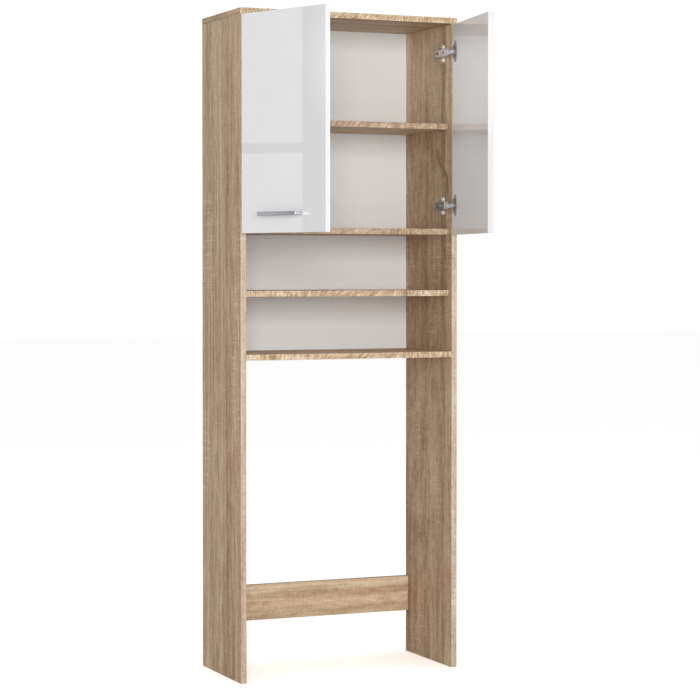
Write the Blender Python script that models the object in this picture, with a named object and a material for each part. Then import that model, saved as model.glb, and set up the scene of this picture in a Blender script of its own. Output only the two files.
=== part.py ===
# Tall cabinet with an open bay at the floor: two full-height sides, two open
# compartments and a two-door cupboard above, its doors on concealed cup hinges.
# Frame: +X right, +Y towards the wall, +Z up, metres. The floor is Z = 0, and the
# origin is under the middle of the footprint with the doors standing open.
import math

import bmesh
import bpy
from mathutils import Matrix, Vector

MM = 0.001

# ---- driving dimensions, millimetres ---------------------------------------
HEIGHT = 1800.0          # floor to the top of the top panel
WIDTH = 640.0            # over the two sides
DEPTH = 300.0            # sides and top, without the back panel
BOARD = 16.0             # laminated chipboard
BACK = 3.0               # hardboard back
GAP = 0.3                # clearance between touching pieces
BAY = 862.0              # clear height of the bay
NICHE = 154.0            # clear height of each open compartment
SETBACK = 20.0           # inner boards stand back from the sides' front edges
SHELF_Z = 1493.0         # underside of the loose shelf
SHELF_SIDE = 2.2         # play at each end of the loose shelf
RAIL_Z = (120.0, 220.0)  # low rail at the back

DOOR_T = 16.0
DOOR_REVEAL = 2.0        # door edge inside the side's outer face
DOOR_MID_GAP = 3.0       # between the closed doors
DOOR_GAP = 2.0           # closed door's inner face to the sides' front edges
DOOR_Z = (1201.0, 1781.0)

# hinge, in a section through the side: u is measured inwards from the side's inner
# face, v towards the back from the sides' front edges
ARM_PIN = (15.0, 0.0)    # link's pin in the arm
CUP_PIN = (-6.5, -6.5)   # link's pin in the cup, door closed
ELBOW = (0.96, -11.16)   # bend of the link, door closed
LINK_TURN = -0.28        # link's turn for each degree that the door turns
CUP_U = 7.0              # centre of the 35 mm cup
CUP_R = 17.5
STUB = (13.0, 24.0)      # knock-in stubs under the cup's ears: u, and height from its centre
HINGE_Z = (1282.0, 1705.0)
PLATE_V = 50.0           # line of the mounting plate's two screws
LOBE_Z = 18.0            # screws of the plate above and below its centre
LEFT_OPEN = 68.2         # stored opening of each door, degrees
RIGHT_OPEN = 80.9

HANDLE_Z = 1250.5
HANDLE_LEN = 146.0
HANDLE_OUT = 26.0
HANDLE_H = 10.0
HANDLE_T = 8.0

INNER = WIDTH / 2 - BOARD           # 304: inner face of each side
DOOR_W = (WIDTH - 2 * DOOR_REVEAL - DOOR_MID_GAP) / 2
DOOR_EDGE = -(BOARD - DOOR_REVEAL)  # hinge-side edge, as u
TOP_Z = HEIGHT - BOARD
BOTTOM = (BAY, BAY + BOARD)
OPEN_SHELF = (BOTTOM[1] + NICHE, BOTTOM[1] + NICHE + BOARD)
FLOOR = (OPEN_SHELF[1] + NICHE, OPEN_SHELF[1] + NICHE + BOARD)


# ---- start from an empty scene ---------------------------------------------
for old in list(bpy.data.objects):
    bpy.data.objects.remove(old, do_unlink=True)


# ---- materials ---------------------------------------------------------------
def material(name, colour, rough, metal=0.0, coat=0.0):
    m = bpy.data.materials.new(name)
    m.use_nodes = True
    b = m.node_tree.nodes["Principled BSDF"]
    b.inputs["Base Color"].default_value = (*colour, 1.0)
    b.inputs["Roughness"].default_value = rough
    b.inputs["Metallic"].default_value = metal
    b.inputs["Coat Weight"].default_value = coat
    m.diffuse_color = (*colour, 1.0)
    return m


OAK = (0.46, 0.33, 0.21)
WHITE = (0.80, 0.80, 0.80)
STEEL = (0.62, 0.62, 0.60)
FINISHES = {
    "oak": (OAK, 0.55, 0.0, 0.0),
    "white_gloss": (WHITE, 0.08, 0.0, 0.6),
    "white_back": ((0.74, 0.73, 0.71), 0.5, 0.0, 0.0),
    "nickel": (STEEL, 0.28, 1.0, 0.0),
    "satin_metal": ((0.50, 0.51, 0.52), 0.35, 1.0, 0.0),
    "zinc": ((0.55, 0.55, 0.53), 0.45, 1.0, 0.0),
    "beech": ((0.60, 0.44, 0.28), 0.7, 0.0, 0.0),
}


# ---- mesh helpers -------------------------------------------------------------
def along_x(a, b, level):
    return (level, a, b)


def along_y(a, b, level):
    return (a, level, b)


def along_z(a, b, level):
    return (a, b, level)


def circle(ca, cb, r, n):
    return [(ca + r * math.cos(2 * math.pi * (i + 0.5) / n),
             cb + r * math.sin(2 * math.pi * (i + 0.5) / n)) for i in range(n)]


def rectangle(a0, a1, b0, b1):
    return [(a0, b0), (a1, b0), (a1, b1), (a0, b1)]


def rounded(a0, a1, b0, b1, r, n=4):
    out = []
    for ca, cb, start in ((a1 - r, b0 + r, -90), (a1 - r, b1 - r, 0),
                          (a0 + r, b1 - r, 90), (a0 + r, b0 + r, 180)):
        for i in range(n + 1):
            t = math.radians(start + 90 * i / n)
            out.append((ca + r * math.cos(t), cb + r * math.sin(t)))
    return out


def hull(points):
    """Convex outline of a set of flat points."""
    pts = sorted(set((round(a, 6), round(b, 6)) for a, b in points))

    def half(seq):
        out = []
        for p in seq:
            while len(out) > 1 and ((out[-1][0] - out[-2][0]) * (p[1] - out[-2][1])
                                    - (out[-1][1] - out[-2][1]) * (p[0] - out[-2][0])) <= 1e-9:
                out.pop()
            out.append(p)
        return out
    lower, upper = half(pts), half(list(reversed(pts)))
    return lower[:-1] + upper[:-1]


def strip(path, half, r_start, r_end, n=8):
    """Outline of a bent strip of even width with a round eye at each end."""
    pts = [Vector(p) for p in path]
    left, right = [], []
    for i, p in enumerate(pts):
        d0 = (p - pts[i - 1]).normalized() if i else (pts[1] - p).normalized()
        d1 = (pts[i + 1] - p).normalized() if i + 1 < len(pts) else d0
        nrm = Vector((-(d0 + d1).y, (d0 + d1).x)).normalized()
        k = half / max(0.3, nrm.dot(Vector((-d0.y, d0.x))))
        left.append(p + nrm * k)
        right.append(p - nrm * k)

    def cap(centre, direction, r):
        base = math.atan2(direction.y, direction.x)
        open_a = math.asin(min(1.0, half / r))
        span = 2 * math.pi - 2 * open_a
        return [centre + r * Vector((math.cos(base + open_a + span * i / n),
                                     math.sin(base + open_a + span * i / n)))
                for i in range(n + 1)]
    start = cap(pts[0], (pts[1] - pts[0]).normalized(), r_start)
    end = cap(pts[-1], (pts[-2] - pts[-1]).normalized(), r_end)
    outline = start + right[1:-1] + end + list(reversed(left[1:-1]))
    return [(p.x, p.y) for p in outline]


def prism(bm, loops, place, lo, hi):
    """Extrude a flat outline, with any holes in it, between two levels."""
    rings = []
    for level in (lo, hi):
        edges, level_rings = [], []
        for loop in loops:
            vs = [bm.verts.new(Vector(place(a, b, level))) for a, b in loop]
            edges += [bm.edges.new((vs[i], vs[(i + 1) % len(vs)])) for i in range(len(vs))]
            level_rings.append(vs)
        bmesh.ops.triangle_fill(bm, use_beauty=True, use_dissolve=False, edges=edges)
        rings.append(level_rings)
    for low, high in zip(*rings):
        for i in range(len(low)):
            j = (i + 1) % len(low)
            bm.faces.new((low[i], low[j], high[j], high[i]))
    return bm


def block(bm, x, y, z):
    return prism(bm, [rectangle(x[0], x[1], y[0], y[1])], along_z, z[0], z[1])


def turned(bm, profile, place, ca=0.0, cb=0.0, n=8):
    """Closed solid turned about a line: profile is (radius, level) from end to end."""
    rings = []
    for r, level in profile:
        rings.append([bm.verts.new(Vector(place(a, b, level))) for a, b in circle(ca, cb, r, n)])
    for low, high in zip(rings, rings[1:]):
        for i in range(n):
            j = (i + 1) % n
            bm.faces.new((low[i], low[j], high[j], high[i]))
    bm.faces.new(rings[0])
    bm.faces.new(rings[-1])
    return bm


def to_mesh(bm, name, matrix=None):
    if matrix is not None:
        bmesh.ops.transform(bm, matrix=matrix, verts=bm.verts)
    bmesh.ops.scale(bm, vec=(MM, MM, MM), verts=bm.verts)
    bmesh.ops.recalc_face_normals(bm, faces=bm.faces)
    me = bpy.data.meshes.new(name)
    bm.to_mesh(me)
    bm.free()
    return me


def smooth(me, angle=35.0):
    me.shade_smooth()
    me.set_sharp_from_angle(angle=math.radians(angle))
    return me


SCENE = bpy.context.scene.collection


def add(name, me, finish, parent=None):
    ob = bpy.data.objects.new(name, me)
    SCENE.objects.link(ob)
    me.materials.clear()
    me.materials.append(material(name, *FINISHES[finish]))
    ob.parent = parent
    return ob


def cutter(ob, bm, name):
    """Subtract closed solids, drawn in the same frame as ob's mesh, from ob."""
    tool = bpy.data.objects.new(name, to_mesh(bm, name))
    SCENE.objects.link(tool)
    tool.parent = ob.parent
    tool.hide_render = True
    tool.display_type = "WIRE"
    mod = ob.modifiers.new("bores", "BOOLEAN")
    mod.operation = "DIFFERENCE"
    mod.solver = "EXACT"
    mod.object = tool


def combined(base, steps, name):
    """Plain mesh of base after a list of (operation, mesh) Booleans."""
    ob = bpy.data.objects.new(name, base)
    SCENE.objects.link(ob)
    tools = []
    for operation, me in steps:
        tool = bpy.data.objects.new(name + "_tool", me)
        SCENE.objects.link(tool)
        tools.append(tool)
        mod = ob.modifiers.new(operation, "BOOLEAN")
        mod.operation = operation
        mod.solver = "EXACT"
        mod.object = tool
    bpy.context.view_layer.update()
    graph = bpy.context.evaluated_depsgraph_get()
    out = bpy.data.meshes.new_from_object(ob.evaluated_get(graph))
    out.name = name
    for tool in tools:
        bpy.data.objects.remove(tool, do_unlink=True)
    bpy.data.objects.remove(ob, do_unlink=True)
    return out


def mirrored(me):
    """The same solid for the other side of the cabinet."""
    bm = bmesh.new()
    bm.from_mesh(me)
    bmesh.ops.scale(bm, vec=(-1.0, 1.0, 1.0), verts=bm.verts)
    bmesh.ops.recalc_face_normals(bm, faces=bm.faces)
    out = bpy.data.meshes.new(me.name)
    bm.to_mesh(out)
    bm.free()
    return out


cabinet = bpy.data.objects.new("cabinet_frame", None)
SCENE.objects.link(cabinet)


# ---- fastener positions ----------------------------------------------------------
# Each fixed board is located on a side by one dowel at each end, and the loose shelf
# lies on two pins at each end.
DOWEL_Y = 150.0
PIN_Y = (60.0, 260.0)
PIN_Z = SHELF_Z - 2.8
BOARDS = (("bottom_panel", BOTTOM, 0.0), ("open_shelf", OPEN_SHELF, SETBACK),
          ("cupboard_floor", FLOOR, SETBACK))
SIDES = ((-1, "left"), (1, "right"))
PLACES = (("lower", HINGE_Z[0]), ("upper", HINGE_Z[1]))
SCREW_DZ = (("bottom", -LOBE_Z), ("top", LOBE_Z))


# ---- sides -----------------------------------------------------------------------
for s, word in SIDES:
    name = word + "_side_panel"
    bm = bmesh.new()
    block(bm, sorted((s * INNER, s * WIDTH / 2)), (0.0, DEPTH), (0.0, TOP_Z - GAP))
    side = add(name, to_mesh(bm, name), "oak", cabinet)
    bm = bmesh.new()
    for board_name, z, front in BOARDS:
        prism(bm, [circle(DOWEL_Y, (z[0] + z[1]) / 2, 4.5, 8)], along_x, s * (INNER - 2), s * (INNER + 11))
    for y in PIN_Y:
        prism(bm, [circle(y, PIN_Z, 2.9, 8)], along_x, s * (INNER - 2), s * (INNER + 9))
    for place, hz in PLACES:
        for word2, dz in SCREW_DZ:
            prism(bm, [circle(PLATE_V, hz + dz, 2.5, 8)], along_x, s * (INNER - 2), s * (INNER + 11.5))
    cutter(side, bm, name + "_bores")


# ---- boards between the sides -----------------------------------------------------
def board(name, z, y, finish="oak", reach=INNER - GAP):
    bm = bmesh.new()
    block(bm, (-reach, reach), y, z)
    return add(name, to_mesh(bm, name), finish, cabinet)


for name, z, front in BOARDS:
    panel = board(name, z, (front, DEPTH))
    mid = (z[0] + z[1]) / 2
    bm = bmesh.new()
    for s, word in SIDES:
        prism(bm, [circle(DOWEL_Y, mid, 4.5, 8)], along_x, s * (INNER + 2), s * (INNER - 20))
    cutter(panel, bm, name + "_bores")
    for s, word in SIDES:
        bm = bmesh.new()
        turned(bm, [(3.2, s * (INNER + 10.5)), (3.9, s * (INNER + 9.5)),
                    (3.9, s * (INNER - 18)), (3.2, s * (INNER - 19))], along_x, DOWEL_Y, mid, 8)
        dowel = f"{name}_dowel_{word}"
        add(dowel, smooth(to_mesh(bm, dowel)), "beech", cabinet)

board("inner_shelf", (SHELF_Z, SHELF_Z + BOARD), (SETBACK, DEPTH - 2.0), reach=INNER - SHELF_SIDE)
board("rear_rail", RAIL_Z, (DEPTH - BOARD, DEPTH))
board("top_panel", (TOP_Z, HEIGHT), (0.0, DEPTH), reach=WIDTH / 2)

bm = bmesh.new()
block(bm, (-WIDTH / 2 + 1, WIDTH / 2 - 1), (DEPTH + GAP, DEPTH + GAP + BACK), (BOTTOM[0] + 1.0, HEIGHT - 1.0))
add("back_panel", to_mesh(bm, "back_panel"), "white_back", cabinet)

for s, word in SIDES:
    for place, y in zip(("front", "rear"), PIN_Y):
        bm = bmesh.new()
        turned(bm, [(2.5, s * (INNER + 8.5)), (2.5, s * (INNER - GAP)), (3.6, s * (INNER - GAP)),
                    (3.6, s * (INNER - 1.7)), (2.5, s * (INNER - 1.7)), (2.5, s * (INNER - 9))],
               along_x, y, PIN_Z, 8)
        pin = f"shelf_pin_{word}_{place}"
        add(pin, smooth(to_mesh(bm, pin)), "nickel", cabinet)


# ---- hinge pieces, drawn for the right side ------------------------------------------
# (u, v) in the section becomes X = INNER - u, Y = v. Heights are about the hinge's centre.
def section(u, v, level):
    return (INNER - u, v, level)


def facing(v, level, u):
    return (INNER - u, v, level)


def door_plane(u, level, v):
    return (INNER - u, v, level)


FLANGE = -DOOR_GAP + GAP                 # underside of the cup's flange, as v


def cup_mesh():
    """Pressed cup with its flange and stubs, and two lugs that hold the link's pin."""
    n = 24
    outline = circle(CUP_U, 0.0, 19.0, n)
    for dz in (-STUB[1], STUB[1]):
        outline += circle(STUB[0], dz, 5.5, 12)
    bm = bmesh.new()
    prism(bm, [hull(outline)], door_plane, FLANGE, FLANGE + 1.2)
    flange = to_mesh(bm, "flange")
    bm = bmesh.new()
    prism(bm, [circle(CUP_U, 0.0, CUP_R, n)], door_plane, FLANGE + 0.6, FLANGE - 11.8)
    for dz in (-STUB[1], STUB[1]):
        turned(bm, [(3.6, FLANGE + 0.6), (3.6, FLANGE - 9.5), (2.8, FLANGE - 10.5)], door_plane, STUB[0], dz, 8)
    below = to_mesh(bm, "below")
    bm = bmesh.new()
    prism(bm, [circle(CUP_U, 0.0, CUP_R - 1.0, n)], door_plane, FLANGE + 3.0, FLANGE - 10.8)
    hollow = to_mesh(bm, "hollow")
    bm = bmesh.new()
    for lo, hi in ((5.0, 6.6), (-6.6, -5.0)):
        prism(bm, [rectangle(CUP_PIN[0] - 1.9, CUP_PIN[0] + 3.0, FLANGE - 11.2, CUP_PIN[1] + 2.2)],
              section, lo, hi)
    lugs = to_mesh(bm, "lugs")
    bm = bmesh.new()
    prism(bm, [circle(*CUP_PIN, 1.35, 8)], section, -6.9, 6.9)
    bore = to_mesh(bm, "bore")
    return combined(flange, [("UNION", below), ("DIFFERENCE", hollow), ("UNION", lugs),
                             ("DIFFERENCE", bore)], "hinge_cup")


def bent(start, corner, end, r, n=5):
    """Path from start to end with a smooth bend at the corner."""
    a, b, c = Vector(start), Vector(corner), Vector(end)
    p, q = b + (a - b).normalized() * r, b + (c - b).normalized() * r
    out = [a]
    for i in range(n + 1):
        t = i / n
        out.append(p * (1 - t) ** 2 + b * 2 * t * (1 - t) + q * t ** 2)
    return out + [c]


def link_mesh():
    """Hooked link between the arm's pin and the cup's pin."""
    bm = bmesh.new()
    prism(bm, [strip(bent(CUP_PIN, ELBOW, ARM_PIN, 3.0), 0.9, 1.9, 2.5, 10),
               circle(*CUP_PIN, 1.35, 8), circle(*ARM_PIN, 1.35, 8)], section, -4.5, 4.5)
    return to_mesh(bm, "hinge_link")


def arm_mesh():
    """Pressed channel that clips over the mounting plate and carries the link's pin."""
    nose = [(ARM_PIN[0] + 3.2 * math.cos(math.radians(a)), ARM_PIN[1] + 3.2 * math.sin(math.radians(a)))
            for a in range(180, 361, 30)]
    bm = bmesh.new()
    prism(bm, [[(3.0, 70.0), (3.0, 26.0), (9.0, 12.0)] + nose + [(18.2, 67.0), (16.2, 70.0)]],
          section, -9.2, 9.2)
    shell = to_mesh(bm, "arm")
    bm = bmesh.new()
    prism(bm, [[(-2.0, -8.0), (22.0, -8.0), (22.0, 5.0), (17.0, 5.0), (17.0, 76.0), (-2.0, 76.0)]],
          section, -8.0, 8.0)
    inside = to_mesh(bm, "inside")
    bm = bmesh.new()
    prism(bm, [circle(*ARM_PIN, 1.35, 8)], section, -10, 10)
    bore = to_mesh(bm, "bore")
    return combined(shell, [("DIFFERENCE", inside), ("DIFFERENCE", bore)], "hinge_arm")


def plate_mesh():
    """Mounting plate: cross bar with a thick round lobe at each screw, and the raised block under the arm."""
    wings = hull(circle(PLATE_V, LOBE_Z, 6.5, 16) + circle(PLATE_V, -LOBE_Z, 6.5, 16))
    bm = bmesh.new()
    prism(bm, [wings], facing, GAP, 2.3)
    plate = to_mesh(bm, "plate")
    bm = bmesh.new()
    for dz in (-LOBE_Z, LOBE_Z):
        prism(bm, [circle(PLATE_V, dz, 7.5, 16)], facing, GAP + 0.5, 8.0)
    lobes = to_mesh(bm, "lobes")
    bm = bmesh.new()
    for dz in (-LOBE_Z, LOBE_Z):
        prism(bm, [circle(PLATE_V, dz, 2.5, 8)], facing, -3.0, 12.0)
    bores = to_mesh(bm, "bores")
    bm = bmesh.new()
    prism(bm, [rounded(27.0, 68.0, -7.2, 7.2, 2.0, 2)], facing, GAP, 16.6)
    riser = to_mesh(bm, "riser")
    return combined(plate, [("UNION", lobes), ("DIFFERENCE", bores), ("UNION", riser)], "hinge_plate")


CUP, LINK, ARM, PLATE = smooth(cup_mesh()), smooth(link_mesh()), smooth(arm_mesh()), smooth(plate_mesh())


def pin_mesh(half):
    bm = bmesh.new()
    turned(bm, [(0.8, -half), (1.0, -half + 0.3), (1.0, half - 0.3), (0.8, half)], along_z, n=8)
    return smooth(to_mesh(bm, "pin"))


def facing_x(a, b, level):
    return (-level, a, b)


def screw_mesh():
    """Plate screw: chipboard thread in the side, cheese head on the wing."""
    bm = bmesh.new()
    turned(bm, [(0.6, -11.0), (2.0, -9.0), (2.0, 8.3), (4.4, 8.3), (4.4, 9.7), (3.2, 11.0)], facing_x, n=8)
    return smooth(to_mesh(bm, "screw"))


CUP_AXLE, ARM_AXLE, PLATE_SCREW = pin_mesh(6.3), pin_mesh(9.7), screw_mesh()


def shifted(me, s, z, origin=None):
    """Copy of a hinge piece at height z on side s, about the given axis."""
    out = mirrored(me) if s < 0 else me.copy()
    move = Vector((0.0, 0.0, z))
    if origin is not None:
        move -= Vector((s * (INNER - origin[0]), origin[1], 0.0))
    out.transform(Matrix.Translation(move * MM))
    return smooth(out)


def swing(point, turn, centre):
    """Where a closed-door section point goes when it turns about centre."""
    t = math.radians(turn)
    du, dv = point[0] - centre[0], point[1] - centre[1]
    return (centre[0] + du * math.cos(t) + dv * math.sin(t),
            centre[1] - du * math.sin(t) + dv * math.cos(t))


def door_side(s, word, opening):
    """One door with its handle and hinges, on the axes that carry it."""
    # the link turns about the arm's pin, and the door about the link's cup pin
    link_axis = bpy.data.objects.new(word + "_link_axis", None)
    door_axis = bpy.data.objects.new(word + "_door_axis", None)
    for e in (link_axis, door_axis):
        SCENE.objects.link(e)
        e.parent = cabinet
    link_axis.location = Vector((s * (INNER - ARM_PIN[0]), ARM_PIN[1], 0.0)) * MM
    link_axis.rotation_euler.z = s * math.radians(LINK_TURN * opening)
    at = swing(CUP_PIN, LINK_TURN * opening, ARM_PIN)
    door_axis.location = Vector((s * (INNER - at[0]), at[1], 0.0)) * MM
    door_axis.rotation_euler.z = s * math.radians(opening)

    pivot = Vector((s * (INNER - CUP_PIN[0]), CUP_PIN[1], 0.0))

    def own(bm, name):
        bmesh.ops.translate(bm, vec=-pivot, verts=bm.verts)
        return to_mesh(bm, name)

    # door leaf
    x0, x1 = s * (INNER - DOOR_EDGE), s * (INNER - DOOR_EDGE - DOOR_W)
    outer, inner = -DOOR_GAP - DOOR_T, -DOOR_GAP
    bm = bmesh.new()
    block(bm, sorted((x0, x1)), (outer, inner), DOOR_Z)
    door = add(word + "_door", own(bm, word + "_door"), "white_gloss", door_axis)
    mid_x = (x0 + x1) / 2
    legs = (("outer", mid_x + s * (HANDLE_LEN - HANDLE_T) / 2),
            ("inner", mid_x - s * (HANDLE_LEN - HANDLE_T) / 2))
    bm = bmesh.new()
    for place, hz in PLACES:
        prism(bm, [circle(s * (INNER - CUP_U), hz, CUP_R + 0.4, 24)], along_y, inner + 2, inner - 12.2)
        for dz in (-STUB[1], STUB[1]):
            prism(bm, [circle(s * (INNER - STUB[0]), hz + dz, 4.3, 8)], along_y, inner + 2, inner - 11.5)
    for place, x in legs:
        prism(bm, [circle(x, HANDLE_Z, 2.4, 8)], along_y, outer - 2, inner + 2)
    bmesh.ops.translate(bm, vec=-pivot, verts=bm.verts)
    cutter(door, bm, word + "_door_bores")

    # handle: one square-cornered bow of flat bar, its two legs square to the door
    face = outer - GAP
    far, near = HANDLE_LEN / 2, HANDLE_LEN / 2 - HANDLE_T
    crest, inside = face - HANDLE_OUT, face - HANDLE_OUT + HANDLE_T
    loop = [(-far, face)]
    for cx, start in ((-far + 2.0, 180), (far - 2.0, 270)):
        for k in range(4):
            t = math.radians(start + 30 * k)
            loop.append((cx + 2.0 * math.cos(t), crest + 2.0 + 2.0 * math.sin(t)))
    loop += [(far, face), (near, face), (near, inside), (-near, inside), (-near, face)]
    bm = bmesh.new()
    prism(bm, [[(mid_x + a, b) for a, b in loop]], along_z,
          HANDLE_Z - HANDLE_H / 2, HANDLE_Z + HANDLE_H / 2)
    handle = add(word + "_handle", own(bm, word + "_handle"), "satin_metal", door_axis)
    bm = bmesh.new()
    for place, x in legs:
        prism(bm, [circle(x, HANDLE_Z, 2.2, 8)], along_y, face + 2, face - 12)
    bmesh.ops.translate(bm, vec=-pivot, verts=bm.verts)
    cutter(handle, bm, word + "_handle_bores")
    for place, x in legs:
        bm = bmesh.new()
        turned(bm, [(1.8, face - 11), (1.8, inner + GAP), (4.0, inner + GAP), (4.0, inner + 1.6),
                    (2.6, inner + 2.6)], along_y, x, HANDLE_Z, 8)
        screw = f"{word}_handle_screw_{place}"
        add(screw, smooth(own(bm, screw)), "zinc", door_axis)

    for place, hz in PLACES:
        stem = f"{word}_{place}_hinge_"
        add(stem + "cup", shifted(CUP, s, hz, CUP_PIN), "nickel", door_axis)
        add(stem + "link", shifted(LINK, s, hz, ARM_PIN), "nickel", link_axis)
        add(stem + "arm", shifted(ARM, s, hz), "nickel", cabinet)
        add(stem + "plate", shifted(PLATE, s, hz), "nickel", cabinet)
        add(stem + "cup_pin", shifted(CUP_AXLE, s, hz), "zinc", door_axis)
        pin = add(stem + "arm_pin", shifted(ARM_AXLE, s, hz), "zinc", cabinet)
        pin.location = Vector((s * (INNER - ARM_PIN[0]), ARM_PIN[1], 0.0)) * MM
        for end_word, dz in SCREW_DZ:
            screw = add(stem + "plate_screw_" + end_word, shifted(PLATE_SCREW, s, hz + dz), "nickel", cabinet)
            screw.location = Vector((s * INNER, PLATE_V, 0.0)) * MM


door_side(-1, "left", LEFT_OPEN)
door_side(1, "right", RIGHT_OPEN)


# ---- centre the open cabinet's footprint on the origin ----------------------------------
bpy.context.view_layer.update()
graph = bpy.context.evaluated_depsgraph_get()
xs, ys = [], []
for ob in bpy.data.objects:
    if ob.type == "MESH" and not ob.hide_render:
        for v in ob.evaluated_get(graph).data.vertices:
            w = ob.matrix_world @ v.co
            xs.append(w.x)
            ys.append(w.y)
cabinet.location = (-(min(xs) + max(xs)) / 2, -(min(ys) + max(ys)) / 2, 0.0)
bpy.context.view_layer.update()
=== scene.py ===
# Looks for the tall cabinet: laminated oak boards with edge band, high-gloss white
# doors, nickel-plated hinges and bar handles, on a white studio floor.
import math

import bmesh
import bpy
from mathutils import Matrix, Vector


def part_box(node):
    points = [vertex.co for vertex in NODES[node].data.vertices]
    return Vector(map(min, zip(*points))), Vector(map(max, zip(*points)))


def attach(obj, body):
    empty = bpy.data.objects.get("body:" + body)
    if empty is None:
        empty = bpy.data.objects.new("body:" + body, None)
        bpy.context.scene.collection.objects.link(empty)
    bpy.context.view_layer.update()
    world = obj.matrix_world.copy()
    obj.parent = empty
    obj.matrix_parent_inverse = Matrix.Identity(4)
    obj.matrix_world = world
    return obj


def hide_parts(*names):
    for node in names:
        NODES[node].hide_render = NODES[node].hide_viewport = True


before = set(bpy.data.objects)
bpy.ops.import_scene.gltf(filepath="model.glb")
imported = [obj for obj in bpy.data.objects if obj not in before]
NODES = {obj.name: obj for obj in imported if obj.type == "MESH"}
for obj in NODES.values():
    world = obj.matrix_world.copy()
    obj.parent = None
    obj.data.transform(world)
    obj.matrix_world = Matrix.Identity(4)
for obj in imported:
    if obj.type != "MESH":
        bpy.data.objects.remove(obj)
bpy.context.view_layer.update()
scene = bpy.context.scene
MM = 0.001


# ---- node helpers ---------------------------------------------------------------
class Graph:
    """Short calls for building one material's node tree."""

    def __init__(self, name):
        self.mat = bpy.data.materials.new(name)
        self.mat.use_nodes = True
        self.tree = self.mat.node_tree
        self.bsdf = self.tree.nodes["Principled BSDF"]

    def put(self, socket, value):
        if isinstance(value, bpy.types.NodeSocket):
            self.tree.links.new(value, socket)
        else:
            socket.default_value = value

    def node(self, kind, out=0, props=None, **inputs):
        n = self.tree.nodes.new(kind)
        for key, value in (props or {}).items():
            setattr(n, key, value)
        for key, value in inputs.items():
            index = int(key[1:]) if key[0] == "i" and key[1:].isdigit() else key.replace("_", " ")
            self.put(n.inputs[index], value)
        return n.outputs[out]

    def math(self, op, a, b=0.0, c=0.0, clamp=False):
        return self.node("ShaderNodeMath", props={"operation": op, "use_clamp": clamp}, i0=a, i1=b, i2=c)

    def ramp(self, fac, lo, hi, a=0.0, b=1.0, smooth=True):
        """Map fac from lo..hi to a..b, clamped."""
        return self.node("ShaderNodeMapRange", props={"interpolation_type": "SMOOTHSTEP" if smooth else "LINEAR"},
                         Value=fac, From_Min=lo, From_Max=hi, To_Min=a, To_Max=b)

    def noise(self, vec, scale=1.0, detail=2.0, rough=0.5, distortion=0.0, out=0):
        return self.node("ShaderNodeTexNoise", out=out, Vector=vec, Scale=scale, Detail=detail,
                         Roughness=rough, Distortion=distortion)

    def mix(self, fac, a, b, blend="MIX"):
        n = self.tree.nodes.new("ShaderNodeMix")
        n.data_type = "RGBA"
        n.blend_type = blend
        self.put(n.inputs[0], fac)
        self.put(n.inputs[6], a)
        self.put(n.inputs[7], b)
        return n.outputs[2]

    def place(self, scale, offset=(0, 0, 0)):
        """Object coordinates, in metres, moved and then scaled."""
        at = self.node("ShaderNodeTexCoord", out=3)
        moved = self.node("ShaderNodeVectorMath", props={"operation": "ADD"}, i0=at, i1=offset)
        return self.node("ShaderNodeVectorMath", props={"operation": "MULTIPLY"}, i0=moved, i1=scale)

    def bump(self, height, strength, distance, normal=None):
        n = self.tree.nodes.new("ShaderNodeBump")
        self.put(n.inputs["Height"], height)
        n.inputs["Strength"].default_value = strength
        n.inputs["Distance"].default_value = distance
        if normal is not None:
            self.put(n.inputs["Normal"], normal)
        return n.outputs["Normal"]

    def done(self, colour=None, rough=None, normal=None, **fixed):
        b = self.bsdf
        if colour is not None:
            self.put(b.inputs["Base Color"], colour)
        if rough is not None:
            self.put(b.inputs["Roughness"], rough)
        if normal is not None:
            self.put(b.inputs["Normal"], normal)
        for key, value in fixed.items():
            b.inputs[key.replace("_", " ")].default_value = value
        return self.mat


FACE_TONES = ((0.0, (0.255, 0.158, 0.090)), (0.28, (0.420, 0.280, 0.170)), (0.52, (0.545, 0.385, 0.250)),
              (0.76, (0.655, 0.492, 0.340)), (1.0, (0.780, 0.630, 0.470)))
BAND_TONES = ((0.0, (0.265, 0.172, 0.100)), (0.25, (0.425, 0.308, 0.203)), (0.52, (0.545, 0.425, 0.310)),
              (0.78, (0.650, 0.540, 0.425)), (1.0, (0.790, 0.705, 0.600)))


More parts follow.
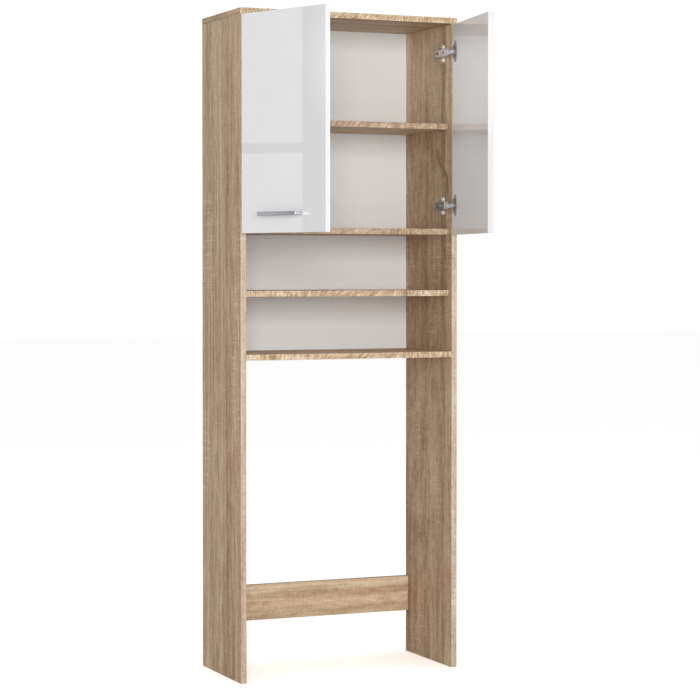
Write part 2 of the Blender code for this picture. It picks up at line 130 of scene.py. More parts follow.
def oak(name, grain, shift, tone=(1.0, 1.0, 1.0), edge=False, slant=None, painted_shade_step=None, front=None,
        calm=(1.0, 0.0), dark_line=None):
    """Pale washed-oak laminate: broad bands, flame figure, streaks, pores and saw marks.

    grain is the axis that the wood grain runs along and shift moves the figure, so that
    no two boards look alike. edge is the lighter and livelier figure of an edge band,
    slant (middle height) turns it across the band, upright at its ends and leaning between,
    the height step (low, high, below, above) is painted shade and light that shifts the
    sheet's tone by below under that band of heights and by above over it, front (near, far,
    change) is painted shade that darkens it above the step towards its front edge, with a
    paler strip right beside that edge, calm (stripes, clouds) weakens the stripes and lays
    broad clouds over them, and the dark line (y, low, high) runs up the sheet from low to
    high, leaning back towards its top.
    """
    g = Graph(name)
    axis = "XYZ".index(grain)

    def stretched(across, along):
        return tuple(along if i == axis else across for i in range(3))

    # slow wander of the grain, so that the streaks are never quite straight
    wander = g.noise(g.place(stretched(5.0, 1.6), shift), detail=1.0, out=1)
    centred = g.node("ShaderNodeVectorMath", props={"operation": "SUBTRACT"}, i0=wander, i1=(0.5, 0.5, 0.5))
    sway = g.node("ShaderNodeVectorMath", props={"operation": "MULTIPLY"}, i0=centred,
                  i1=tuple(0.0 if i == axis else 0.010 for i in range(3)))
    at = g.node("ShaderNodeTexCoord", out=3)
    base = g.node("ShaderNodeVectorMath", props={"operation": "ADD"}, i0=at, i1=shift)
    base = g.node("ShaderNodeVectorMath", props={"operation": "ADD"}, i0=base, i1=sway)

    def field(across, along, **kw):
        vec = g.node("ShaderNodeVectorMath", props={"operation": "MULTIPLY"}, i0=base,
                     i1=stretched(across, along))
        return g.noise(vec, **kw)

    def around(value, weight):
        return g.math("MULTIPLY", g.math("SUBTRACT", value, 0.5), weight)

    bands = field(20.0, 0.32, detail=2.0)
    figure = field(8.0, 1.1, detail=1.0, rough=0.4)
    ring = g.math("FRACT", g.math("MULTIPLY", figure, 13.0))
    ring = g.ramp(g.math("ABSOLUTE", g.math("SUBTRACT", ring, 0.5)), 0.0, 0.5)
    stripe = field(62.0, 1.3, detail=1.0)
    streak = field(115.0, 3.0, detail=2.0, rough=0.6)
    dash = field(105.0, 26.0, detail=2.0, rough=0.65)
    fibre = field(520.0, 60.0, detail=2.0, rough=0.6)
    pores = field(900.0, 75.0, detail=1.0)
    mark = field(70.0, 230.0, detail=1.0)
    saw = field(10.0, 185.0, detail=1.0)
    patch = field(10.0, 3.0, detail=1.0)

    t = around(bands, 1.0 if not edge else 0.2)
    t = g.math("ADD", t, around(ring, 0.15))
    t = g.math("ADD", t, around(stripe, 0.75 * calm[0] if not edge else 0.15))
    t = g.math("ADD", t, around(streak, 0.70 * calm[0] if not edge else 0.35))
    t = g.math("ADD", t, around(dash, 0.70 if not edge else 0.45))
    t = g.math("ADD", t, around(mark, 0.38 if not edge else 0.35))
    t = g.math("ADD", t, around(fibre, 0.6))
    if calm[1]:
        t = g.math("ADD", t, around(field(13.0, 7.0, detail=1.0), calm[1]))
    sawn = g.math("MULTIPLY", g.ramp(saw, 0.50, 0.66), g.ramp(patch, 0.57, 0.68))
    t = g.math("ADD", t, g.math("MULTIPLY", sawn, 0.20))
    pore = g.ramp(pores, 0.60, 0.74)
    t = g.math("SUBTRACT", t, g.math("MULTIPLY", pore, 0.20))
    # painted shade and light: the sheet's tone steps across a band of heights
    if painted_shade_step is not None:
        at_z = g.tree.nodes.new("ShaderNodeSeparateXYZ")
        g.put(at_z.inputs[0], g.node("ShaderNodeTexCoord", out=3))
        t = g.math("ADD", t, g.ramp(at_z.outputs[2], painted_shade_step[0], painted_shade_step[1], painted_shade_step[2], painted_shade_step[3]))
    # painted shade: above the step the sheet darkens towards its front edge
    if front is not None:
        at_y = g.tree.nodes.new("ShaderNodeSeparateXYZ")
        g.put(at_y.inputs[0], g.node("ShaderNodeTexCoord", out=3))
        near = g.ramp(at_y.outputs[1], front[0], front[1], -front[2], 0.0)
        t = g.math("ADD", t, g.math("MULTIPLY", near, g.ramp(at_y.outputs[2], painted_shade_step[0], painted_shade_step[1])))
        # the strip right beside the front edge is paler
        t = g.math("ADD", t, g.ramp(at_y.outputs[1], front[0] + 0.024, front[0] + 0.040, 0.14, 0.0))
    # a dark line up the sheet that leans back towards its top
    if dark_line is not None:
        line, low, high = dark_line
        at_s = g.tree.nodes.new("ShaderNodeSeparateXYZ")
        g.put(at_s.inputs[0], g.node("ShaderNodeTexCoord", out=3))
        bend = g.ramp(at_s.outputs[2], low + 0.45 * (high - low), low + 0.78 * (high - low), 0.0, 0.052)
        shake = around(g.noise(g.place((0.0, 0.0, 38.0), shift), detail=2.0), 0.022)
        off = g.math("SUBTRACT", at_s.outputs[1], g.math("ADD", line, g.math("ADD", bend, shake)))
        off = g.math("ABSOLUTE", off)
        run = g.math("MULTIPLY", g.ramp(at_s.outputs[2], low, low + 0.05), g.ramp(at_s.outputs[2], high, high - 0.03))
        core = g.ramp(off, 0.002, 0.009, 0.42, 0.0)
        halo = g.ramp(off, 0.005, 0.035, 0.10, 0.0)
        t = g.math("SUBTRACT", t, g.math("MULTIPLY", g.math("ADD", core, halo), run))
    if edge:
        fleck = field(150.0, 85.0, detail=2.0)
        t = g.math("ADD", t, around(fleck, 0.5))
    if slant is not None:
        # the band was cut across its sheet: strokes cross it, and lean along its middle
        parts = g.tree.nodes.new("ShaderNodeSeparateXYZ")
        g.put(parts.inputs[0], g.node("ShaderNodeTexCoord", out=3))
        lean = g.math("MULTIPLY", g.ramp(parts.outputs[0], -0.15, -0.07), g.ramp(parts.outputs[0], 0.17, 0.09))
        drift = g.noise(g.place((9.0, 0.0, 0.0), shift), detail=1.0)
        lean = g.math("MULTIPLY", lean, g.math("ADD", 0.55, g.math("MULTIPLY", drift, 1.1)))
        up = g.math("SUBTRACT", parts.outputs[2], slant)
        u = g.math("SUBTRACT", parts.outputs[0], g.math("MULTIPLY", up, lean))
        joined = g.tree.nodes.new("ShaderNodeCombineXYZ")
        g.put(joined.inputs[0], u)
        g.put(joined.inputs[2], g.math("MULTIPLY", up, 0.16))
        moved = g.node("ShaderNodeVectorMath", props={"operation": "ADD"}, i0=joined.outputs[0], i1=shift)
        bars = g.noise(moved, 75.0, 1.0, 0.4)
        strokes = g.noise(moved, 330.0, 1.0, 0.5)
        t = g.math("ADD", t, around(g.ramp(bars, 0.40, 0.60), 0.17))
        t = g.math("ADD", t, around(g.ramp(strokes, 0.38, 0.62), 0.52))
    t = g.math("ADD", t, 0.54)

    ramp = g.tree.nodes.new("ShaderNodeValToRGB")
    stops = BAND_TONES if edge else FACE_TONES
    while len(ramp.color_ramp.elements) < len(stops):
        ramp.color_ramp.elements.new(0.5)
    for el, (pos, col) in zip(ramp.color_ramp.elements, stops):
        el.position = pos
        el.color = (col[0] * tone[0], col[1] * tone[1], col[2] * tone[2], 1.0)
    g.put(ramp.inputs[0], t)
    hue = field(19.0, 1.0, detail=2.0)
    if calm[1]:
        warm = g.mix(g.ramp(hue, 0.38, 0.62), (0.985, 0.962, 0.925, 1.0), (0.962, 0.976, 0.935, 1.0))
    else:
        warm = g.mix(g.ramp(hue, 0.38, 0.62), (1.004, 0.953, 0.926, 1.0), (0.966, 0.976, 0.934, 1.0))
    colour = g.mix(1.0, ramp.outputs[0], warm, "MULTIPLY")
    rough = g.ramp(t, 0.1, 0.9, 0.64, 0.48)
    height = g.math("SUBTRACT", g.math("MULTIPLY", fibre, 0.5), pore)
    height = g.math("ADD", height, g.math("MULTIPLY", sawn, 0.6))
    return g.done(colour, rough, g.bump(height, 0.35, 0.00012), Specular_IOR_Level=0.35)


def chipboard(name):
    """Raw pressed-wood core seen on the edges that carry no band."""
    g = Graph(name)
    vec = g.place((1, 1, 1))
    chips = g.node("ShaderNodeTexVoronoi", out=1, Vector=vec, Scale=520.0)
    tone = g.node("ShaderNodeRGBToBW", i0=chips)
    grit = g.noise(vec, 1500.0, 3.0, 0.7)
    t = g.math("ADD", g.math("MULTIPLY", tone, 0.6), g.math("MULTIPLY", grit, 0.5))
    colour = g.mix(g.ramp(t, 0.25, 0.95), (0.27, 0.17, 0.09, 1), (0.60, 0.44, 0.27, 1))
    return g.done(colour, 0.85, g.bump(t, 0.6, 0.0004))


def gloss_white(name, tint=(0.735, 0.735, 0.742)):
    """High-gloss white laminate: faint orange peel under a clear, hard surface."""
    g = Graph(name)
    vec = g.place((1, 1, 1))
    peel = g.noise(vec, 95.0, 2.0, 0.45)
    wave = g.noise(vec, 9.0, 1.0, 0.4)
    height = g.math("ADD", g.math("MULTIPLY", peel, 0.12), wave)
    dust = g.noise(vec, 620.0, 3.0, 0.65)
    rough = g.ramp(dust, 0.35, 0.85, 0.014, 0.034)
    cloud = g.noise(vec, 6.0, 2.0)
    colour = g.mix(g.ramp(cloud, 0.3, 0.7), (*tint, 1.0), (tint[0] * 0.985, tint[1] * 0.985, tint[2] * 0.99, 1.0))
    return g.done(colour, rough, g.bump(height, 0.02, 0.002), Coat_Weight=0.55, Coat_Roughness=0.015,
                  Specular_IOR_Level=0.5)


def painted_board(name):
    """White-lacquered hardboard, fine matt tooth."""
    g = Graph(name)
    vec = g.place((1, 1, 1))
    tooth = g.noise(vec, 900.0, 3.0, 0.6)
    cloud = g.noise(vec, 5.0, 2.0)
    colour = g.mix(g.ramp(cloud, 0.3, 0.7), (0.838, 0.844, 0.846, 1), (0.825, 0.83, 0.832, 1))
    return g.done(colour, g.ramp(tooth, 0.3, 0.7, 0.42, 0.58), g.bump(tooth, 0.25, 0.00008))


def hardboard(name):
    """Brown rear face of the back board, with the mesh mark of its press."""
    g = Graph(name)
    vec = g.place((1, 1, 1))
    fibre = g.noise(vec, 420.0, 4.0, 0.7)
    blotch = g.noise(vec, 14.0, 3.0)
    wave = g.node("ShaderNodeTexWave", props={"bands_direction": "X"}, Vector=vec, Scale=160.0)
    wave2 = g.node("ShaderNodeTexWave", props={"bands_direction": "Z"}, Vector=vec, Scale=160.0)
    mesh = g.math("MULTIPLY", wave, wave2)
    t = g.math("ADD", g.math("MULTIPLY", fibre, 0.7), g.math("MULTIPLY", blotch, 0.4))
    colour = g.mix(g.ramp(t, 0.3, 0.85), (0.20, 0.115, 0.06, 1), (0.36, 0.23, 0.135, 1))
    return g.done(colour, 0.75, g.bump(g.math("ADD", mesh, fibre), 0.4, 0.0002))


def metal(name, colour, rough, brushed=None, wear=0.12, dark=0.55, shine=1.0, tail=None):
    """Plated or satin metal: fine brushing or cloudy plating, darker in its marks.

    shine below 1 gives the milky look of matt plating, and tail is the depth behind
    which painted shade darkens the piece.
    """
    g = Graph(name)
    if brushed is None:
        streak = g.noise(g.place((1, 1, 1)), 700.0, 3.0, 0.6)
    else:
        streak = g.noise(g.place(tuple(60.0 if "XYZ"[i] == brushed else 2600.0 for i in range(3))), 1.0, 2.0, 0.6)
    cloud = g.noise(g.place((1, 1, 1)), 120.0, 3.0, 0.6)
    t = g.ramp(cloud, 0.35, 0.8)
    base = g.mix(g.math("MULTIPLY", t, wear * 3), (*colour, 1), tuple(c * dark for c in colour) + (1,))
    # painted shade: behind the depth tail the colour is mixed towards dark
    if tail is not None:
        depth = g.tree.nodes.new("ShaderNodeSeparateXYZ")
        g.put(depth.inputs[0], g.node("ShaderNodeTexCoord", out=3))
        base = g.mix(g.ramp(depth.outputs[1], tail - 0.002, tail + 0.006, 0.0, 0.86), base, (0.13, 0.125, 0.12, 1))
    r = g.math("ADD", g.ramp(streak, 0.3, 0.7, rough * 0.75, rough * 1.3), g.math("MULTIPLY", t, wear * 0.6))
    return g.done(base, r, g.bump(streak, 0.12, 0.00003), Metallic=shine)


def beech(name):
    g = Graph(name)
    streak = g.noise(g.place((60.0, 900.0, 900.0)), 1.0, 3.0, 0.6)
    colour = g.mix(g.ramp(streak, 0.3, 0.7), (0.48, 0.32, 0.19, 1), (0.68, 0.51, 0.34, 1))
    return g.done(colour, 0.7, g.bump(streak, 0.3, 0.0001))


# ---- mesh helpers -----------------------------------------------------------------
def box_into(bm, lo, hi, bevel, segments=2, index=0, only=None):
    """A box with rounded edges; only(edge midpoint, direction) picks the edges."""
    made = bmesh.ops.create_cube(bm, size=1.0)
    verts = made["verts"]
    size, mid = Vector(hi) - Vector(lo), (Vector(hi) + Vector(lo)) / 2
    for v in verts:
        v.co = Vector((v.co.x * size.x, v.co.y * size.y, v.co.z * size.z)) + mid
    faces = {f for v in verts for f in v.link_faces}
    edges = {e for v in verts for e in v.link_edges}
    for f in faces:
        f.material_index = index
    if only is not None:
        edges = {e for e in edges if only((e.verts[0].co + e.verts[1].co) / 2,
                                          (e.verts[0].co - e.verts[1].co).normalized())}
    if bevel > 0 and edges:
        out = bmesh.ops.bevel(bm, geom=list(edges), offset=bevel, segments=segments, profile=0.5,
                              affect="EDGES", clamp_overlap=True)
        faces = {f for f in faces if f.is_valid} | set(out["faces"])
    for f in faces:
        f.material_index = index
    return faces


def finish_mesh(name, bm, mats, body, replaced=(), angle=40.0):
    me = bpy.data.meshes.new(name)
    bm.normal_update()
    bm.to_mesh(me)
    bm.free()
    for m in mats:
        me.materials.append(m)
    me.shade_smooth()
    me.set_sharp_from_angle(angle=math.radians(angle))
    ob = bpy.data.objects.new(name, me)
    scene.collection.objects.link(ob)
    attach(ob, body)
    if replaced:
        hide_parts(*replaced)
    return ob


# ---- boards ------------------------------------------------------------------------
CHIP = chipboard("chipboard_core")
BAND = 0.8 * MM


def board(node, grain, flat, bands, shift, tone=1.0, band_tone=1.0, ends_tone=0.97, painted_shade_step=None, front=None,
          tint=(1.0, 1.0, 1.0), calm=(1.0, 0.0), dark_line=None):
    """Laminated board: core with its two printed faces, and a glued band on each named side.

    flat is the axis across the board's thickness; bands lists sides such as "-Y".
    A board with a height step of painted shade has that shade on its inner face only.
    """
    lo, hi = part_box(node)
    core_lo, core_hi = lo.copy(), hi.copy()
    k = "XYZ".index(flat)
    for side in bands:
        i = "XYZ".index(side[1])
        if side[0] == "-":
            core_lo[i] += BAND
        else:
            core_hi[i] -= BAND
    bm = bmesh.new()
    box_into(bm, core_lo, core_hi, 0.12 * MM, 1)
    bm.normal_update()
    for f in bm.faces:
        f.material_index = 0 if abs(f.normal[k]) > 0.9 else 1
        # the outer face of a board with painted shade gets its own material, without that shade
        if painted_shade_step is not None and f.normal[k] * (lo[k] + hi[k]) > 0.0 and f.material_index == 0:
            f.material_index = 3
    for n, side in enumerate(bands):
        i = "XYZ".index(side[1])
        a, b = core_lo.copy(), core_hi.copy()
        # a band on the long sides covers the ends of the bands on the short ones
        for other in bands[:n]:
            j = "XYZ".index(other[1])
            a[j], b[j] = max(a[j], core_lo[j]), min(b[j], core_hi[j])
        if side[0] == "-":
            a[i], b[i] = lo[i], core_lo[i] - 0.02 * MM
        else:
            a[i], b[i] = core_hi[i] + 0.02 * MM, hi[i]
        outer = lo[i] if side[0] == "-" else hi[i]
        if n == 0:
            for other in bands[1:]:
                j = "XYZ".index(other[1])
                if j == i:
                    continue
                if other[0] == "-":
                    a[j] = lo[j]
                else:
                    b[j] = hi[j]
        box_into(bm, a, b, 0.45 * MM, 3, 2 if side[1] != grain else 3, lambda m, d: abs(m[i] - outer) < 1e-6)
    other_way = tuple(-1.7 * v + 0.31 for v in shift)
    slant = (lo.z + hi.z) / 2 if flat == "Z" else None
    warmer = (1.0, 1.0, 1.0) if slant is None else (1.03, 0.98, 0.90)
    face = oak(node + "_face", grain, shift, tuple(tone * c for c in tint), painted_shade_step=painted_shade_step, front=front, calm=calm,
               dark_line=dark_line)
    mats = [face, CHIP,
            oak(node + "_band", grain, other_way, tuple(band_tone * c for c in warmer), edge=True, slant=slant)]
    if painted_shade_step is not None:
        mats.append(oak(node + "_outer_face", grain, tuple(1.3 * v + 0.7 for v in shift)))
    elif any(side[1] == grain for side in bands):
        mats.append(oak(node + "_end_band", "Y", other_way, (ends_tone,) * 3))
    return finish_mesh(node + "_laminated", bm, mats, "cabinet", (node,))


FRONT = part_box("left_side_panel")[0].y
board("left_side_panel", "Z", "X", ["-Y"], (0.37, 1.91, 0.83))
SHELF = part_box("inner_shelf")[0].z
# the right side's inner face carries painted shade and light: darker below the inner shelf, lighter above it and darker
# above it towards the front edge; its front band is made lighter (band_tone 1.06) as painted light
board("right_side_panel", "Z", "X", ["-Y"], (2.11, 0.43, 1.37), band_tone=1.06,
      painted_shade_step=(SHELF - 0.02, SHELF + 0.02, -0.19, 0.11), front=(FRONT + 0.015, FRONT + 0.105, 0.16),
      tint=(0.975, 1.0, 1.02), calm=(0.5, 0.45), dark_line=(0.040, 1.28, 1.45))
board("top_panel", "X", "Z", ["-Y", "-X", "+X"], (0.71, 2.33, 0.19), tone=0.81, band_tone=1.05)
# band_tone here is painted light and shade: the bottom's front band is lighter, and the bands of the cupboard floor and
# inner shelf are darker
board("bottom_panel", "X", "Z", ["-Y"], (1.53, 0.77, 2.9), band_tone=1.02)
board("open_shelf", "X", "Z", ["-Y"], (2.93, 1.21, 0.57), band_tone=1.00)
board("cupboard_floor", "X", "Z", ["-Y"], (0.19, 3.17, 1.71), band_tone=0.84)
board("inner_shelf", "X", "Z", ["-Y"], (3.41, 0.11, 2.23), band_tone=0.84)
board("rear_rail", "X", "Y", ["-Z", "+Z"], (1.07, 2.57, 3.3))

# back board: white on the inside, brown press side behind
lo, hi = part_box("back_panel")
bm = bmesh.new()
box_into(bm, lo, (hi.x, hi.y - 0.5 * MM, hi.z), 0.3 * MM, 1)
bm.normal_update()
for f in bm.faces:
    f.material_index = 0 if f.normal.y < -0.5 else 1
finish_mesh("back_board", bm, [painted_board("back_white"), hardboard("back_brown")], "cabinet",
            ("back_panel",))


# ---- doors --------------------------------------------------------------------------
WIDTH, BOARD, DOOR_T = 640.0, 16.0, 16.0
INNER = WIDTH / 2 - BOARD
ARM_PIN, CUP_PIN, ELBOW = (15.0, 0.0), (-6.5, -6.5), (0.96, -11.16)
LINK_TURN = -0.28
CUP_U, CUP_R = 7.0, 17.5
OPEN = {-1: 68.2, 1: 80.9}
HINGE_Z = (1282.0, 1705.0)
WORD = {-1: "left", 1: "right"}
side_lo, side_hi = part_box("left_side_panel")
SHIFT = Vector((side_lo.x + WIDTH / 2 * MM, side_lo.y, 0.0))


def swing(point, turn, centre):
    t = math.radians(turn)
    du, dv = point[0] - centre[0], point[1] - centre[1]
    return (centre[0] + du * math.cos(t) + dv * math.sin(t),
            centre[1] - du * math.sin(t) + dv * math.cos(t))


def posed(s, part):
    """Matrix from the closed drawing, in metres, to where the piece is stored."""
    if part == "fixed":
        return Matrix.Translation(SHIFT)
    if part == "link":
        pivot = Vector((s * (INNER - ARM_PIN[0]), ARM_PIN[1], 0.0)) * MM
        return (Matrix.Translation(SHIFT + pivot) @ Matrix.Rotation(s * math.radians(LINK_TURN * OPEN[s]), 4, "Z")
                @ Matrix.Translation(-pivot))
    at = swing(CUP_PIN, LINK_TURN * OPEN[s], ARM_PIN)
    here = Vector((s * (INNER - at[0]), at[1], 0.0)) * MM
    pivot = Vector((s * (INNER - CUP_PIN[0]), CUP_PIN[1], 0.0)) * MM
    return (Matrix.Translation(SHIFT + here) @ Matrix.Rotation(s * math.radians(OPEN[s]), 4, "Z")
            @ Matrix.Translation(-pivot))


# the right door's white is a little lighter than the left's: painted light on the same laminate
DOOR_WHITE = {-1: (0.733, 0.733, 0.740), 1: (0.750, 0.748, 0.750)}
for s in (-1, 1):
    word = WORD[s]
    node = NODES[word + "_door"]
    node.data.materials.clear()
    node.data.materials.append(gloss_white(word + "_door_gloss", DOOR_WHITE[s]))
    bevel = node.modifiers.new("rounded", "BEVEL")
    bevel.width = 0.7 * MM
    bevel.segments = 3
    bevel.limit_method = "ANGLE"
    bevel.angle_limit = math.radians(50)
    bevel.harden_normals = True

# ---- fittings -----------------------------------------------------------------------
# Drawn for the right side with its door closed, in millimetres: u is measured inwards from
# the side's inner face and v backwards from its front edge, so X = INNER - u and Y = v.
NICKEL = metal("nickel_plate", (0.80, 0.765, 0.71), 0.50, dark=0.62, shine=0.45)
NICKEL_LINK = metal("nickel_link", (0.55, 0.53, 0.56), 0.55, dark=0.62, shine=0.4)
# the cup's nickel is much darker than the plate's: painted shade for the dark line of its flange edge
NICKEL_CUP = metal("nickel_cup", (0.36, 0.345, 0.34), 0.48, dark=0.62, shine=0.5)
SATIN = metal("satin_bar", (0.46, 0.465, 0.48), 0.29, brushed="X", wear=0.05)
ZINC = metal("zinc_plate", (0.44, 0.43, 0.42), 0.46, dark=0.6, shine=0.7)
DARK = metal("dark_screw", (0.17, 0.16, 0.15), 0.42, dark=0.6, shine=0.8)
BROWN = metal("bronzed_pin", (0.33, 0.25, 0.18), 0.50, dark=0.7, shine=0.35)
PALE = metal("pale_screw", (0.66, 0.655, 0.65), 0.50, dark=0.8, shine=0.2)
BEECH = beech("beech_dowel")
for name, node in NODES.items():
    if "dowel" in name:
        node.data.materials.clear()
        node.data.materials.append(BEECH)

PLATE_V, LOBE_Z = 50.0, 18.0
STUB = (13.0, 24.0)
GAP, DOOR_GAP = 0.3, 2.0
FLANGE = -DOOR_GAP + GAP


def circle(a, b, r, n=40):
    return [(a + r * math.cos(2 * math.pi * i / n), b + r * math.sin(2 * math.pi * i / n)) for i in range(n)]


def rounded(a0, a1, b0, b1, r, n=6):
    out = []
    for ca, cb, start in ((a1 - r, b0 + r, -90), (a1 - r, b1 - r, 0), (a0 + r, b1 - r, 90), (a0 + r, b0 + r, 180)):
        for i in range(n + 1):
            t = math.radians(start + 90 * i / n)
            out.append((ca + r * math.cos(t), cb + r * math.sin(t)))
    return out


def hull(points):
    pts = sorted(set((round(a, 5), round(b, 5)) for a, b in points))

    def half(seq):
        out = []
        for q in seq:
            while len(out) > 1 and ((out[-1][0] - out[-2][0]) * (q[1] - out[-2][1])
                                    - (out[-1][1] - out[-2][1]) * (q[0] - out[-2][0])) <= 1e-9:
                out.pop()
            out.append(q)
        return out
    lower, upper = half(pts), half(list(reversed(pts)))
    return lower[:-1] + upper[:-1]


def strip(path, half, r_start, r_end, n=16):
    """Outline of a bent strip of even width with a round eye at each end."""
    pts = [Vector(q) for q in path]
    left, right = [], []
    for i, q in enumerate(pts):
        d0 = (q - pts[i - 1]).normalized() if i else (pts[1] - q).normalized()
        d1 = (pts[i + 1] - q).normalized() if i + 1 < len(pts) else d0
        nrm = Vector((-(d0 + d1).y, (d0 + d1).x)).normalized()
        k = half / max(0.3, nrm.dot(Vector((-d0.y, d0.x))))
        left.append(q + nrm * k)
        right.append(q - nrm * k)

    def cap(centre, direction, r):
        cut = math.asin(min(1.0, half / r))
        base = math.atan2(direction.y, direction.x)
        return [(centre.x + r * math.cos(base + math.pi - cut - (2 * math.pi - 2 * cut) * i / n),
                 centre.y + r * math.sin(base + math.pi - cut - (2 * math.pi - 2 * cut) * i / n))
                for i in range(n + 1)]
    out = [(q.x, q.y) for q in left[1:-1]]
    out += cap(pts[-1], (pts[-1] - pts[-2]).normalized(), r_end)
    out += [(q.x, q.y) for q in reversed(right[1:-1])]
    out += cap(pts[0], (pts[0] - pts[1]).normalized(), r_start)
    return out


def section(u, v, level):
    return (INNER - u, v, level)


def facing(v, level, u):
    return (INNER - u, v, level)


def door_plane(u, level, v):
    return (INNER - u, v, level)


def along_y(a, b, level):
    return (a, level, b)


def along_z(a, b, level):
    return (a, b, level)


def along_x(a, b, level):
    return (level, a, b)


def prism(bm, loops, place, lo, hi):
    """Extrude a flat outline, with any holes in it, between two levels."""
    rings = []
    for level in (lo, hi):
        edges, level_rings = [], []
        for loop in loops:
            vs = [bm.verts.new(Vector(place(a, b, level))) for a, b in loop]
            edges += [bm.edges.new((vs[i], vs[(i + 1) % len(vs)])) for i in range(len(vs))]
            level_rings.append(vs)
        bmesh.ops.triangle_fill(bm, use_beauty=True, use_dissolve=True, edges=edges)
        rings.append(level_rings)
    for low, high in zip(*rings):
        for i in range(len(low)):
            j = (i + 1) % len(low)
            bm.faces.new((low[i], low[j], high[j], high[i]))
    return bm


def turned(bm, profile, place, ca=0.0, cb=0.0, n=32):
    """Closed solid turned about a line: profile is (radius, level) from end to end."""
    rings = [[bm.verts.new(Vector(place(a, b, level))) for a, b in circle(ca, cb, r, n)] for r, level in profile]
    for low, high in zip(rings, rings[1:]):
        for i in range(n):
            j = (i + 1) % n
            bm.faces.new((low[i], low[j], high[j], high[i]))
    bm.faces.new(rings[0])
    bm.faces.new(rings[-1])
    return bm


def to_mesh(bm, name="solid"):
    bmesh.ops.remove_doubles(bm, verts=bm.verts, dist=1e-5)
    bmesh.ops.recalc_face_normals(bm, faces=bm.faces)
    me = bpy.data.meshes.new(name)
    bm.to_mesh(me)
    bm.free()
    return me


def shape(draw, *args, **kw):
    bm = bmesh.new()
    draw(bm, *args, **kw)
    return to_mesh(bm)


def carved(me, steps, name):
    """Join, or cut, solids one after the other."""
    base = bpy.data.objects.new(name, me)
    scene.collection.objects.link(base)
    others = []
    for op, other in steps:
        ob = bpy.data.objects.new("tool", other)
        scene.collection.objects.link(ob)
        others.append(ob)
        mod = base.modifiers.new(op, "BOOLEAN")
        mod.operation, mod.object, mod.solver = op, ob, "EXACT"
    out = bpy.data.meshes.new_from_object(base.evaluated_get(bpy.context.evaluated_depsgraph_get()))
    for ob in others + [base]:
        bpy.data.objects.remove(ob)
    out.name = name
    return out


def wing(place, at, a, b, level, depth):
    """One tapered wing of a cross-head recess, as a solid of half sizes a and b."""
    bm = bmesh.new()
    ring = [[bm.verts.new(Vector(place(at[0] + sa * a * k, at[1] + sb * b * k, z)))
             for sa, sb in ((-1, -1), (1, -1), (1, 1), (-1, 1))]
            for k, z in ((0.6, level - depth), (1.0, level + 0.6))]
    for i in range(4):
        j = (i + 1) % 4
        bm.faces.new((ring[0][i], ring[0][j], ring[1][j], ring[1][i]))
    bm.faces.new(ring[0])
    bm.faces.new(ring[1])
    return to_mesh(bm)


def screw_head(place, at, r, base, top, n=32):
    """Domed cross-head screw head standing on the level base."""
    h = top - base
    me = shape(turned, [(r * 0.55, base - h * 0.8), (r * 0.98, base), (r, base + h * 0.30), (r * 0.93, base + h * 0.62),
                        (r * 0.74, base + h * 0.88), (r * 0.42, base + h), (r * 0.05, base + h)], place, at[0], at[1], n)
    long, short = r * 0.60, r * 0.17
    return carved(me, [("DIFFERENCE", wing(place, at, a, b, top, h * 0.7)) for a, b in ((long, short), (short, long))],
                  "screw_head")


def mirrored(me):
    out = me.copy()
    bm = bmesh.new()
    bm.from_mesh(out)
    bmesh.ops.scale(bm, vec=(-1, 1, 1), verts=bm.verts)
    bmesh.ops.reverse_faces(bm, faces=bm.faces)
    bm.to_mesh(out)
    bm.free()
    return out


def fitting(name, me, s, part, z, body, material, replaced=(), bevel=0.0, segments=2):
    """Place a copy of a drawn fitting: on side s, at height z, moving with body."""
    me = mirrored(me) if s < 0 else me.copy()
    me.name = name
    me.transform(Matrix.Translation((0.0, 0.0, z * MM)) @ Matrix.Scale(MM, 4))
    me.materials.clear()
    me.materials.append(material)
    me.shade_smooth()
    me.set_sharp_from_angle(angle=math.radians(35))
    ob = bpy.data.objects.new(name, me)
    ob.matrix_world = posed(s, part)
    scene.collection.objects.link(ob)
    if bevel:
        mod = ob.modifiers.new("edges", "BEVEL")
        mod.width, mod.segments, mod.limit_method, mod.angle_limit = bevel * MM, segments, "ANGLE", math.radians(40)
        mod.harden_normals = True
    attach(ob, body)
    if replaced:
        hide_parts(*replaced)
    return ob


def bent(start, corner, end, r, n=12):
    a, b, c = Vector(start), Vector(corner), Vector(end)
    q0, q1 = b + (a - b).normalized() * r, b + (c - b).normalized() * r
    out = [a]
    for i in range(n + 1):
        t = i / n
        out.append(q0 * (1 - t) ** 2 + b * 2 * t * (1 - t) + q1 * t ** 2)
    return out + [c]


# cup: deep-drawn shell with a flat flange, two ears and the lugs of the link's pin
outline = circle(CUP_U, 0.0, 19.0, 72)
for dz in (-STUB[1], STUB[1]):
    outline += circle(STUB[0], dz, 5.5, 32)
flange = shape(prism, [hull(outline)], door_plane, FLANGE, FLANGE + 1.2)
F = FLANGE
below = shape(turned, [(CUP_R, F + 0.6), (CUP_R, F - 9.6), (CUP_R - 0.5, F - 10.9), (CUP_R - 1.8, F - 11.8)],
              door_plane, CUP_U, 0.0, 72)
hollow = shape(turned, [(CUP_R + 0.2, F + 3.0), (CUP_R + 0.2, F + 1.15), (CUP_R - 0.6, F + 0.9), (CUP_R - 1.0, F + 0.3),
                        (CUP_R - 1.0, F - 8.8), (CUP_R - 1.6, F - 10.1), (CUP_R - 3.0, F - 10.8)],
               door_plane, CUP_U, 0.0, 72)
stubs = [("UNION", shape(turned, [(3.6, F + 0.6), (3.6, F - 9.5), (2.8, F - 10.5)], door_plane, STUB[0], dz, 32))
         for dz in (-STUB[1], STUB[1])]
lugs = [("UNION", shape(prism, [rounded(CUP_PIN[0] - 1.9, CUP_PIN[0] + 3.0, F - 11.2, CUP_PIN[1] + 2.2, 1.2)],
                        section, lo, hi)) for lo, hi in ((5.0, 6.6), (-6.6, -5.0))]
